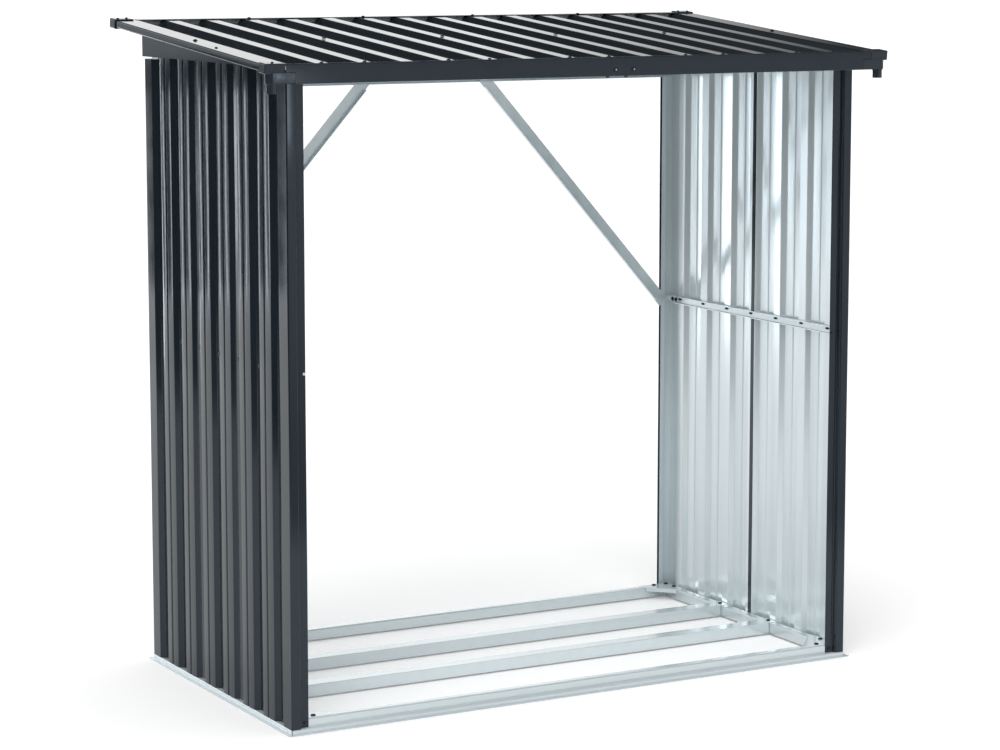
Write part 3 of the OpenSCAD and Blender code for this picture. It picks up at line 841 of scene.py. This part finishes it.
class LOGSTORE_OT_corners(bpy.types.Operator):
    """Moulded gutter ends with cup and spout, and the caps at the rear roof corners"""

    bl_idname = "logstore.corners"
    bl_label = "Plastic corners"

    def execute(self, context):
        plastic = finish("satin_plastic")
        for side_name, side in SIDES.items():
            front, rear = f"gutter_corner_{side_name}", f"rear_cap_{side_name}"
            shells = [self.socket(front, side, -1), self.cup(front, side), self.spout(front, side)]
            end = new_piece(f"gutter_end_{side_name}", *joined(shells), [plastic])
            seat(end, "moulded_plastic", front)
            cap = new_piece(f"corner_cap_{side_name}", *self.socket(rear, side, 1), [plastic])
            seat(cap, "moulded_plastic", rear)
        return {"FINISHED"}

    def socket(self, node, side, end):
        """Box with rounded edges that is open towards the trim that slips into it."""
        m = settings().mouldings
        out, up = slope_directions()
        down_level, up_level = socket_span()
        angle = roof_angle()
        level = up_level if end < 0 else -down_level
        closed = end * (far("gutter_corner_right", Y) - level * math.sin(angle)) / math.cos(angle)
        centre = on_roof(side * (far(node, X) - m.socket / 2), closed, (down_level + up_level) / 2)
        outline = rounded_box(m.socket, up_level - down_level, m.round)
        r, deep, inside, rim = m.round, m.socket_depth, m.wall * 0.9, 0.0005
        layers = [
            (r * 0.8, 0), (r * 0.3, r * 0.15), (r * 0.06, r * 0.5), (0, r), (0, deep - rim), (rim, deep),
            (inside, deep), (inside, m.wall)]
        return moulding(outline, layers, (centre, RIGHT, out, -end * up))

    def cup_place(self, node, side):
        """Middle of a cup's round end on the gutter's floor, and its radius."""
        back = high("gutter_fascia_right", Y)
        radius = (back - low(node, Y)) / 2
        return (side * (cup_end(node) - radius), back - radius, low("gutter_fascia_right", Z)), radius

    def cup(self, node, side):
        """Cup round at its outer end, with a rounded bottom edge."""
        m = settings().mouldings
        centre, radius = self.cup_place(node, side)
        r, tall = m.round, cup_roof() - centre[Z]
        layers = [(r * 0.8, 0), (r * 0.3, r * 0.15), (0, r * 0.8), (0, tall - m.cup_rim), (m.cup_rim, tall)]
        outline = half_round(cup_end(node) - near(node, X), radius)
        return moulding(outline, layers, (centre, (side, 0, 0), BACK, UP))

    def spout(self, node, side):
        """Short tube under the cup, with a slightly rounded rim and a collar that runs up into the cup."""
        m = settings().mouldings
        centre, _ = self.cup_place(node, side)
        bore, foot, collar = m.spout_wall, low(node, Z) - centre[Z], m.collar
        rim, edge, flare_start, flare_end, sunk = 0.0006, 0.0005, -0.003, -0.0008, 0.002
        layers = [
            (bore, sunk), (bore, foot + rim), (bore * 0.7, foot), (edge, foot), (0, foot + rim),
            (0, flare_start), (-collar, flare_end), (-collar, sunk)]
        return moulding(ring(m.spout), layers, (centre, RIGHT, BACK, UP))


# Frame


class LOGSTORE_OT_base(bpy.types.Operator):
    """Base rails with mitred ends, floor joists and corner plates"""

    bl_idname = "logstore.base"
    bl_label = "Base frame"

    def execute(self, context):
        self.rails()
        self.joists()
        self.plates()
        return {"FINISHED"}

    def rails(self):
        """Rails of one section, cut off at 45 degrees at both ends."""
        s = settings().steel
        half_x = high("base_rail_front", X) + s.mitre
        half_y = high("base_rail_right", Y) + s.mitre
        top = high("base_rail_front", Z)
        reach = size("base_rail_front", Y)
        web = reach - s.rail_top
        section = [[0, s.thickness], [s.foot, s.thickness], [s.foot, s.riser], [web, s.riser], [web, top],
                   [reach, top], [reach, top - s.rail_lip]]

        def mitred(skin):
            return (s.mitre + skin[..., 0],) * 2

        for name, end in ENDS.items():
            galvanised(
                f"rail_{name}", f"base_rail_{name}", section, -s.thickness,
                ((0, end * half_y, 0), (0, -end, 0), UP, RIGHT), (-half_x, half_x), "zinc_along_x", 24,
                trim=mitred)
        for name, side in SIDES.items():
            galvanised(
                f"rail_{name}", f"base_rail_{name}", section, -s.thickness,
                ((side * half_x, 0, 0), (-side, 0, 0), UP, BACK), (-half_y, half_y), "zinc_along_y", 24,
                trim=mitred)

    def joists(self):
        """Inverted channels whose legs stop short of the side rails."""
        s = settings().steel
        step = settings().sheets.cut
        for end_name in ENDS:
            node = f"floor_joist_{end_name}"
            half = size(node, Y) / 2
            floor, top = span(node, Z)
            cope = top - s.thickness
            section = [[-half, floor], [-half, cope - step], [-half, cope], [-half, top], [half, top],
                       [half, cope], [half, cope - step], [half, floor]]

            def coped(skin):
                return (np.where(skin[..., 1] < cope - step / 2, s.rail_top + s.slip, 0),) * 2

            axes = ((0, low(node, Y) + half, 0), BACK, UP, RIGHT)
            galvanised(
                f"joist_{end_name}", node, section, -s.thickness, axes, span(node, X), "zinc_along_x", 24,
                trim=coped)

    def plates(self):
        """Corner plates: a fold carried across the corner, as wide at each place as the corner allows."""
        s = settings().steel
        step = settings().sheets.cut
        slant = math.sqrt(0.5)
        for end_name, end in ENDS.items():
            for side_name, side in SIDES.items():
                node = f"corner_plate_{end_name}_{side_name}"
                leg, top = size(node, X), high(node, Z)
                widest, edge = leg * slant, (leg + s.plate_edge) * slant
                bend = top - s.thickness
                section = [[s.mitre, top], [widest, top], [edge, top], [edge, bend], [edge, bend - step],
                           [edge, bend - s.plate_lip]]

                def cornered(skin):
                    reach = np.minimum(skin[..., 0], 2 * widest - skin[..., 0])
                    lip = edge - (s.rail_top + s.slip) / slant
                    reach = np.where(skin[..., 1] < bend - step * 2 / 3, np.minimum(reach, lip), reach)
                    return (widest - reach,) * 2

                inwards, across = (-side * slant, -end * slant, 0), (-side * slant, end * slant, 0)
                axes = ((side * far(node, X), end * far(node, Y), 0), inwards, UP, across)
                galvanised(
                    f"plate_{end_name}_{side_name}", node, section, -s.thickness, axes, (-widest, widest),
                    "zinc_along_x", levels=3, waves=0, trim=cornered)


class LOGSTORE_OT_inner(bpy.types.Operator):
    """Middle rails, top rails, beams, purlin, braces and brackets"""

    bl_idname = "logstore.inner"
    bl_label = "Inner frame"

    def execute(self, context):
        for side_name, side in SIDES.items():
            self.side_channel(f"mid_rail_{side_name}", side)
            self.side_channel(f"side_top_rail_{side_name}", side)
            self.brace(f"brace_{side_name}", side)
            self.bracket(f"brace_bracket_{side_name}", side)
        self.beams()
        self.purlin()
        return {"FINISHED"}

    def side_channel(self, node, side):
        """Channel along a side wall, its flanges inwards."""
        floor, top = span(node, Z)
        inner, outer = near(node, X), far(node, X)
        corners = [[inner, floor], [outer, floor], [outer, top], [inner, top]]
        galvanised(
            f"{node}_bar", node, corners, settings().steel.thickness, ((0, 0, 0), (side, 0, 0), UP, BACK),
            span(node, Y), "zinc_along_y")

    def beams(self):
        """Front channel and rear beam with its top flange against the roof."""
        s = settings().steel
        axes = ((0, 0, 0), BACK, UP, RIGHT)
        node = "front_beam"
        (front, back), (floor, top) = span(node, Y), span(node, Z)
        corners = [[back, floor], [front, floor], [front, top], [back, top]]
        galvanised(f"{node}_bar", node, corners, -s.thickness, axes, span(node, X), "zinc_along_x")
        node = "rear_beam"
        (front, back), web, floor = span(node, Y), middle(node, Y), low(node, Z)
        top = under(web) - settings().sheets.play - s.thickness / math.cos(roof_angle())
        flange = top + (back - web) * math.tan(roof_angle())
        corners = [[front, floor], [web, floor], [web, top], [back, flange]]
        galvanised(f"{node}_bar", node, corners, s.thickness, axes, span(node, X), "zinc_along_x")

    def purlin(self):
        """Hat bar under the middle of the roof."""
        s = settings().steel
        node = "roof_purlin"
        out, up = slope_directions()
        half, foot, top = s.purlin / 2, -s.purlin_depth, -settings().sheets.play
        corners = [[-half, foot], [-half, top], [half, top], [half, foot]]
        galvanised(f"{node}_bar", node, corners, -s.thickness, ((0, 0, roof_height()), up, out, RIGHT),
                   span(node, X), "zinc_along_x")

    def brace(self, node, side):
        """Angle bar: a wide leg against the post and a lip that stops short of both ends."""
        s = settings().steel
        step = settings().sheets.cut
        wide, tall = size(node, X), size(node, Z)
        angle = bar_angle(wide, tall, s.brace)
        run = math.hypot(wide - s.brace * math.sin(angle), tall - s.brace * math.cos(angle))
        along = np.array([-side * math.cos(angle), 0, math.sin(angle)])
        across = np.array([-side * math.sin(angle), 0, -math.cos(angle)])
        centre = (middle(node, X), high(node, Y), middle(node, Z))
        half = s.brace / 2
        cope = s.thickness + settings().sheets.thickness
        corners = [[-half, 0], [half, 0], [half, cope], [half, cope + step], [half, size(node, Y)]]

        def coped(skin):
            return (np.where(skin[..., 1] > cope + step / 3, 2 * s.brace_end, 0),) * 2

        galvanised(f"{node}_bar", node, corners, s.thickness, (centre, across, FORWARD, along),
                   (-run / 2, run / 2), "zinc_upright", 24, trim=coped)

    def bracket(self, node, side):
        """Small angle between the middle rail and the rear post, short of the post's hem."""
        sheets = settings().sheets
        inner = near(node, X) + sheets.hem + sheets.thickness
        corners = [[far(node, X), near(node, Y)], [far(node, X), far(node, Y)], [inner, far(node, Y)]]
        galvanised(f"{node}_bar", node, corners, settings().steel.thickness,
                   ((0, 0, 0), (side, 0, 0), BACK, UP), span(node, Z), "zinc_upright", levels=2, waves=0)


# Fasteners: profiles of radius and height as shares of the radius, then offsets in metres and the oval
# stretch of the rail bolts


BOLT_SHAPE = ((1.0, 0.0), (1.0, 0.18), (0.93, 0.34), (0.72, 0.5), (0.4, 0.58), (0.12, 0.6))
SCREW_SHAPE = ((1.0, 0.0), (1.0, 0.12), (0.9, 0.22), (0.66, 0.26), (0.64, 0.52), (0.56, 0.6), (0.12, 0.62))
CROWN_INSET = 0.012
CAP_SCREWS = ((0.012, 0.020), (-0.012, 0.014))
SMALL_TRIM_SCREW = (0.008, -0.135)
RAIL_BOLT_LIFT = 0.002
RAIL_BOLT_OVAL = (1.25, 0.5)
BRACKET_BOLTS = (0.008, 0.024)
BRACE_INSET = 0.020
POST_SCREW_LEVEL = 0.021
POST_BOLT_SHIFT = 0.006
PLATE_BOLTS = ((0.010, 0.048), (0.048, 0.010), (0.011, 0.011))
JOIST_INSET = 0.011
FASCIA_BOLTS = (0.011, 0.058)
FASCIA_BOLT_LEVEL = 0.0146
FASCIA_NUTS = (-0.005, 0.043)
FASCIA_NUT_INSET = 0.008


def heads(name, radius, places, axis, shape=BOLT_SHAPE, coat="black_bolts", slot="galvanised_steel",
          oval=(1, 1)):
    """Round heads at several places, all turned along one axis: a profile of radius and height revolved.

    The profile is swept round the axis on a grid and repeated over the places by adding each one. oval
    stretches the circle sideways and upright.
    """
    axis = np.asarray(axis, float)
    side = np.cross(axis, UP if abs(axis[Z]) < 0.9 else BACK)
    side /= np.linalg.norm(side)
    other = np.cross(axis, side)
    reach, height = np.array(shape).T * radius
    angle = np.linspace(0, 2 * math.pi, 20, endpoint=False)
    circle = oval[0] * np.cos(angle)[:, None] * side + oval[1] * np.sin(angle)[:, None] * other
    one = reach[:, None, None] * circle + height[:, None, None] * axis
    points = np.asarray(places, float)[:, None, None] + one
    index = np.arange(points[..., 0].size).reshape(points.shape[:3])
    after = np.roll(index, -1, 2)
    quads = np.stack([index[:, :-1], after[:, :-1], after[:, 1:], index[:, 1:]], -1).reshape(-1, 4)
    faces = quads.tolist() + index[:, 0, ::-1].tolist() + index[:, -1].tolist()
    seat(new_piece(name, points, faces, [finish(coat)], smooth=50), slot)


class LOGSTORE_OT_fasteners(bpy.types.Operator):
    """Roof screws, bolts through the walls, rails, plates, posts and fascia"""

    bl_idname = "logstore.fasteners"
    bl_label = "Fasteners"

    def execute(self, context):
        self.roof_screws()
        for side_name, side in SIDES.items():
            self.wall_bolts(side_name, side)
            self.post_bolts(side_name, side)
        self.base_bolts()
        self.fascia_bolts()
        return {"FINISHED"}

    def roof_screws(self):
        """Screws with washers on the crowns, the trims and the plastic corners."""
        s, m = settings().sheets, settings().mouldings
        out, _ = slope_directions()
        crown, reach = crown_places(), roof_reach()
        level, lapped = s.depth + s.thickness, roof_deep()
        third = np.arange(3, s.crowns - 1, 3)
        others = np.setdiff1d(np.arange(1, s.crowns - 1), third)
        spots = [on_roof(crown[k], CROWN_INSET - reach, level) for k in others]
        spots += [on_roof(crown[k], place, lapped) for k in third for place in (0, reach - CROWN_INSET)]
        trim = (near("roof_side_trim_right", X) + far("roof_side_trim_right", X)) / 2
        spots += [on_roof(side * trim, 0, lapped) for side in SIDES.values()]
        heads("roof_screws", m.washer, spots, out, SCREW_SHAPE)
        top = socket_span()[1]
        cap, back = far("rear_cap_right", X) - m.socket / 2, far("rear_cap_right", Y)
        places = [(cap, m.socket_depth / 2 - back)]
        places += [(cap + step, back - inset) for step, inset in CAP_SCREWS]
        spots = [on_roof(side * x, place, top) for side in SIDES.values() for x, place in places]
        spots.append(on_roof(-trim - SMALL_TRIM_SCREW[0], SMALL_TRIM_SCREW[1], lapped))
        heads("corner_screws", m.washer * 0.7, spots, out, SCREW_SHAPE)

    def wall_bolts(self, side_name, side):
        """Bolts in each valley at the middle rail, in the bracket and at the ends of the brace."""
        s, bolt, steel = settings().sheets, settings().mouldings.bolt, settings().steel.thickness
        rail, bracket, brace = (f"{piece}_{side_name}" for piece in ("mid_rail", "brace_bracket", "brace"))
        valley = np.arange(-WALL_FLATS, WALL_FLATS + 1) * wall_pitch()
        level, web = middle(rail, Z), far(rail, X)
        inwards, outwards = (-side, 0, 0), (side, 0, 0)
        places = [(side * (web - steel), y, level + RAIL_BOLT_LIFT) for y in valley]
        heads(f"rail_bolts_{side_name}", bolt, places, inwards, oval=RAIL_BOLT_OVAL)
        sheets = np.where(np.abs(valley) < s.lap, 2, 1)
        places = [(side * (web + n * s.thickness), y, level) for n, y in zip(sheets[1:-1], valley[1:-1])]
        heads(
            f"wall_bolts_{side_name}", bolt, places, outwards, coat="anthracite_paint", slot="painted_steel")
        leg = side * (far(bracket, X) - steel)
        places = [(leg, near(bracket, Y) + step, level) for step in BRACKET_BOLTS]
        heads(f"bracket_bolts_{side_name}", bolt, places, inwards)
        post = far(f"corner_post_rear_{side_name}", Y) - s.depth
        foot = (side * (far(brace, X) - BRACE_INSET), post, level)
        head = (side * (near(brace, X) + BRACE_INSET), middle("rear_beam", Y), high(brace, Z) - BRACE_INSET)
        heads(f"brace_bolts_{side_name}", bolt, [foot, head], BACK)

    def post_bolts(self, side_name, side):
        """Screw near the foot of a front post and the end of the middle rail's bolt in its flange."""
        s, bolt = settings().sheets, settings().mouldings.bolt
        post = f"corner_post_front_{side_name}"
        flange, face = near(post, X) + s.post_flange / 2, s.depth - far(post, Y)
        heads(f"post_screw_{side_name}", bolt * 0.8, [(side * flange, face, POST_SCREW_LEVEL)], FORWARD)
        place = (side * (flange - POST_BOLT_SHIFT), face, middle(f"mid_rail_{side_name}", Z))
        # Painted highlight: the left bolt end is bright zinc where the right one is black, on the side the
        # key light comes from.
        heads(f"post_bolt_{side_name}", bolt * 0.6, [place], FORWARD,
              coat="zinc_upright" if side < 0 else "black_bolts")

    def base_bolts(self):
        """Bolts through the corner plates and the ends of the joists."""
        plate, joist = "corner_plate_rear_right", "floor_joist_rear"
        places = [(far(plate, X) - x, far(plate, Y) - y, high(plate, Z)) for x, y in PLATE_BOLTS]
        places.append((high(joist, X) - JOIST_INSET, middle(joist, Y), high(joist, Z)))
        spots = [
            (side * x, end * y, z) for side in SIDES.values() for end in ENDS.values() for x, y, z in places]
        heads("base_bolts", settings().mouldings.bolt, spots, UP)

    def fascia_bolts(self):
        """Bolts at the joint of the fascia, with bright middles, and the nuts under it."""
        bolt = settings().mouldings.bolt
        node = "gutter_fascia_left"
        joint, front, floor = high(node, X), low(node, Y), low(node, Z)
        spots = np.array([(joint + step, front, floor + FASCIA_BOLT_LEVEL) for step in FASCIA_BOLTS])
        heads("fascia_bolts", bolt * 0.9, spots, FORWARD)
        heads("fascia_bolt_pins", bolt * 0.3, spots - [0, bolt * 0.5, 0], FORWARD, coat="zinc_upright")
        nuts = [(joint + step, front + FASCIA_NUT_INSET, floor) for step in FASCIA_NUTS]
        heads("fascia_nuts", bolt, nuts, DOWN, SCREW_SHAPE)


# Stage: lamps out of the camera's sight, each with its place, its width and height and its share of
# the strips' brightness, then the soft box's ramps from nothing to full along the seen direction


STRIPS = {
    "strip_left": ((-5.0, 6.3, 0.5), (0.35, 1.0), 1.2),
    "strip_middle": ((-4.36, 6.68, 0.5), (0.22, 1.0), 1.1),
    "strip_rear": ((-3.2, 7.19, 0.5), (0.2, 1.0), 0.9),
    "strip_back": ((-1.82, 5.44, 1.0), (0.55, 2.0), 1.0),
    "card_front": ((1.12, -5.0, 1.09), (0.45, 0.28), 0.9),
    "card": ((-3.74, 6.98, 1.43), (1.9, 0.56), 0.13),
}
SOFT_BOX = (("Z", 0.0, 0.07), ("Z", 0.40, 0.30), ("Y", 0.1, 0.4), ("X", 0.585, 0.48))
CEILING = (0.5, 0.8)
SWEEP_EDGE = (0.96, 1.06)
ROOM_SIDES = (-2, 3)
FLOOR_REACH = 120
FLOOR_DROP = 0.0005
SENSOR = 36.0


class LOGSTORE_OT_stage(bpy.types.Operator):
    """Pale floor, soft studio light and the camera"""

    bl_idname = "logstore.stage"
    bl_label = "Stage"

    def execute(self, context):
        self.floor()
        self.world()
        self.key()
        for name, lamp in STRIPS.items():
            self.strip(name, *lamp)
        self.camera()
        context.scene.view_settings.view_transform = "Standard"
        return {"FINISHED"}

    def floor(self):
        """Wide flat disc just under the feet; for glossy rays its colour is painted dark past a white sweep,
        a painted reflection of a dim room with a lighter lit side.
        """
        stage, rgb = settings().stage, settings().colours.floor
        points, _ = ring(FLOOR_REACH, 96)
        points = np.concatenate([points, np.full((len(points), 1), -FLOOR_DROP)], 1)
        mesh = bpy.data.meshes.new("floor")
        mesh.from_pydata(points, [], [list(range(len(points)))])
        n = Nodes(bpy.data.materials.new("floor"))
        path = n.add("ShaderNodeLightPath").outputs
        # Painted reflection: seen by glossy rays only, the floor's colour turns dark past the sweep and
        # lighter towards +X, as a dim room with a lit side.
        away = n.add("ShaderNodeVectorMath", {0: n.place(), 1: stage.sweep_at}, operation="DISTANCE")
        past = n.spread(away.outputs["Value"], 0, 1, *(stage.sweep * edge for edge in SWEEP_EDGE))
        lit = n.spread(n.split(n.place())["X"], 0, 1, *ROOM_SIDES)
        room = n.mix(lit, shade(rgb, stage.room), shade(rgb, stage.front))
        n.set(
            Base_Color=n.mix(n.math("MULTIPLY", past, path["Is Glossy Ray"]), shade(rgb, 1.0), room),
            Emission_Strength=n.math("MULTIPLY", path["Is Camera Ray"], stage.lift),
            Emission_Color=(1, 1, 1, 1), Roughness=0.9, Specular_IOR_Level=0.0)
        mesh.materials.append(n.owner)
        floor = show("floor", mesh)

    def world(self):
        """White surroundings; reflections see a dim room with a soft box low behind the roof."""
        stage = settings().stage
        n = Nodes(bpy.data.worlds.new("studio"), "Background")
        bpy.context.scene.world = n.owner
        direction = n.split(n.add("ShaderNodeTexCoord").outputs["Generated"])
        path = n.add("ShaderNodeLightPath").outputs
        soft_box = 1.0
        for axis, start, stop in SOFT_BOX:
            soft_box = n.math("MULTIPLY", soft_box, n.spread(direction[axis], 0, 1, start, stop))
        overhead = n.spread(direction["Z"], 0, stage.overhead, *CEILING)
        lamps = n.math("MAXIMUM", n.spread(soft_box, stage.room, stage.box, 0, 1), overhead)
        plain = n.spread(path["Is Glossy Ray"], stage.world, 0.0, 0, 1)
        light = n.math("ADD", plain, n.math("MULTIPLY", path["Is Glossy Ray"], lamps))
        white = n.math("MAXIMUM", path["Is Camera Ray"], path["Is Transmission Ray"])
        n.set(Strength=n.math("MAXIMUM", light, white), Color=(1, 1, 1, 1))

    def key(self):
        """Broad sun from the front left, as even on the floor far away as near by."""
        stage = settings().stage
        sun = bpy.data.lights.new("key", "SUN")
        sun.energy = stage.sun
        sun.angle = stage.sun_spread
        show("key", sun).rotation_euler = (stage.sun_tilt, 0, stage.sun_turn)

    def strip(self, name, place, extent, share):
        """Upright strip lamp turned to the object; its power follows from its brightness and area."""
        lamp = bpy.data.lights.new(name, "AREA")
        lamp.shape = "RECTANGLE"
        lamp.size, lamp.size_y = extent
        lamp.color = settings().colours.lamp
        lamp.energy = share * settings().stage.strip * math.pi * extent[0] * extent[1]
        holder = show(name, lamp)
        turn = Matrix.Rotation(math.atan2(place[1], place[0]) + math.pi / 2, 4, "Z")
        holder.matrix_world = Matrix.Translation(place) @ turn @ Matrix.Rotation(math.pi / 2, 4, "X")
        holder.visible_camera = False

    def camera(self):
        """Camera from its place, yaw and pitch, for a frame 1000 by 750."""
        stage = settings().stage
        data = bpy.data.cameras.new("camera")
        data.sensor_fit = "HORIZONTAL"
        data.sensor_width = SENSOR
        data.lens = stage.lens
        data.shift_y = stage.shift
        camera = show("camera", data)
        turn = Matrix.Rotation(-stage.yaw, 4, "Z") @ Matrix.Rotation(math.pi / 2 - stage.pitch, 4, "X")
        camera.matrix_world = Matrix.Translation(stage.camera) @ turn
        bpy.context.scene.camera = camera


OPERATORS = (
    LOGSTORE_OT_base, LOGSTORE_OT_walls, LOGSTORE_OT_posts, LOGSTORE_OT_inner, LOGSTORE_OT_gables,
    LOGSTORE_OT_roof, LOGSTORE_OT_gutter, LOGSTORE_OT_corners, LOGSTORE_OT_fasteners, LOGSTORE_OT_stage)


class LOGSTORE_PT_panel(bpy.types.Panel):
    """Sidebar panel with the steps and the settings"""

    bl_idname = "LOGSTORE_PT_panel"
    bl_label = "Log store"
    bl_space_type = "VIEW_3D"
    bl_region_type = "UI"
    bl_category = "Log store"

    def draw(self, context):
        for operator in OPERATORS:
            self.layout.operator(operator.bl_idname)
        for name in ("sheets", "steel", "mouldings", "colours", "stage"):
            group = getattr(context.scene.log_store, name)
            box = self.layout.box()
            box.label(text=name.capitalize())
            for key in group.__annotations__:
                box.prop(group, key)


CLASSES = (
    LogStoreSheets, LogStoreSteel, LogStoreMouldings, LogStoreColours, LogStoreStage, LogStoreSettings,
    *OPERATORS, LOGSTORE_PT_panel)


def register():
    """Makes the classes and the scene's settings known."""
    for cls in CLASSES:
        bpy.utils.register_class(cls)
    bpy.types.Scene.log_store = PointerProperty(type=LogStoreSettings)


def unregister():
    """Takes them back."""
    del bpy.types.Scene.log_store
    for cls in reversed(CLASSES):
        bpy.utils.unregister_class(cls)


def main():
    """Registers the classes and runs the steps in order."""
    register()
    for operator in OPERATORS:
        group, name = operator.bl_idname.split(".")
        getattr(getattr(bpy.ops, group), name)()


if __name__ == "__main__":
    main()
